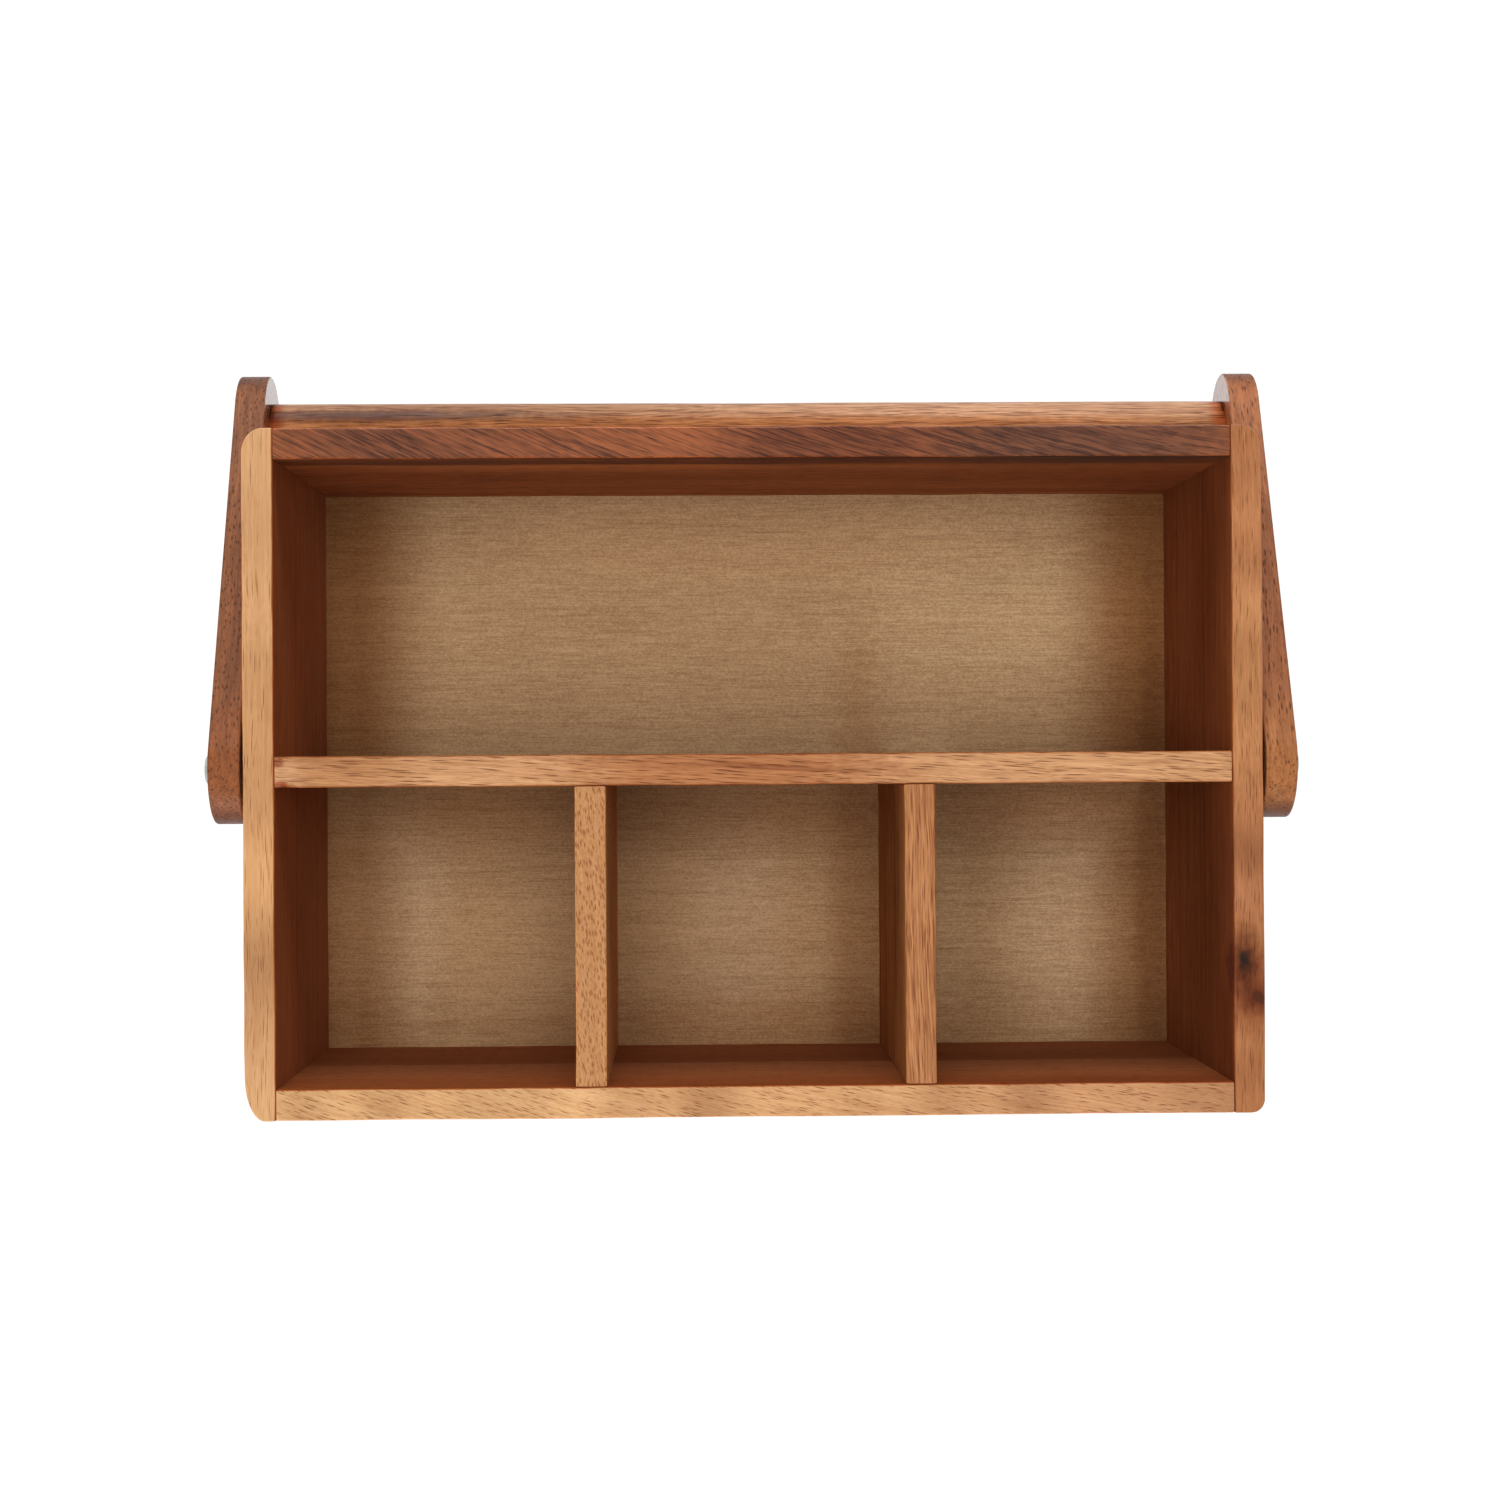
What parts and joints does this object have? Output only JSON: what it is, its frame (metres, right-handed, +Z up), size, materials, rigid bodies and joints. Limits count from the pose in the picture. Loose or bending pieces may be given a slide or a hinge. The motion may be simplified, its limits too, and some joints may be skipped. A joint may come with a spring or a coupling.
{
  "type": "tool tote with drawer",
  "caption": "Open wooden tool tote with crossed dividers in its tray, a swinging bar handle that folds behind it, and a shallow front drawer under the tray.",
  "frame": {"origin": "centre of the case's footprint, on the flat underside that it stands on", "axes": "+X to the right across the case, along the grip bar; +Y to the back, away from the drawer's knob; +Z up"},
  "size_m": [0.331, 0.2471, 0.175],
  "materials": {
    "side_wood": "satin clear lacquer",
    "front_wood": "satin clear lacquer",
    "back_wood": "satin clear lacquer",
    "divider_wood": "satin clear lacquer",
    "floor_ply": "satin clear lacquer",
    "bottom_ply": "satin clear lacquer",
    "dowel_wood": "satin clear lacquer",
    "brad_steel": "zinc plated",
    "screw_steel": "zinc plated",
    "washer_steel": "zinc plated",
    "arm_wood": "satin clear lacquer",
    "bar_wood": "satin clear lacquer",
    "drawer_front_wood": "satin clear lacquer",
    "drawer_box_wood": "satin clear lacquer",
    "drawer_ply": "satin clear lacquer",
    "knob_wood": "satin clear lacquer"
  },
  "bodies": {
    "case": {"left_side_board": "side_wood", "right_side_board": "side_wood", "front_board": "front_wood", "back_board": "back_wood", "long_divider": "divider_wood", "left_cross_divider": "divider_wood", "right_cross_divider": "divider_wood", "tray_floor": "floor_ply", "case_bottom": "bottom_ply", "corner_dowels": "dowel_wood", "divider_dowels": "dowel_wood", "bottom_brads": "brad_steel", "left_pivot_screw": "screw_steel", "right_pivot_screw": "screw_steel", "left_spacer_washer": "washer_steel", "right_spacer_washer": "washer_steel", "left_head_washer": "washer_steel", "right_head_washer": "washer_steel"},
    "drawer": {"drawer_dowels": "dowel_wood", "knob_screw": "screw_steel", "knob_screw_washer": "washer_steel", "drawer_front": "drawer_front_wood", "drawer_left_side": "drawer_box_wood", "drawer_right_side": "drawer_box_wood", "drawer_back": "drawer_box_wood", "drawer_bottom": "drawer_ply", "drawer_knob": "knob_wood"},
    "handle": {"left_bar_screw": "screw_steel", "right_bar_screw": "screw_steel", "left_arm": "arm_wood", "right_arm": "arm_wood", "grip_bar": "bar_wood"}
  },
  "joints": [
    {"name": "handle_swing", "type": "hinge", "parent": "case", "child": "handle", "pos_m": [0, 0.0015, 0.1585], "axis": [1, 0, 0], "range_deg": [0, 224.8]},
    {"name": "drawer_slide", "type": "slide", "parent": "case", "child": "drawer", "axis": [0, -1, 0], "range_m": [0, 0.15]}
  ]
}
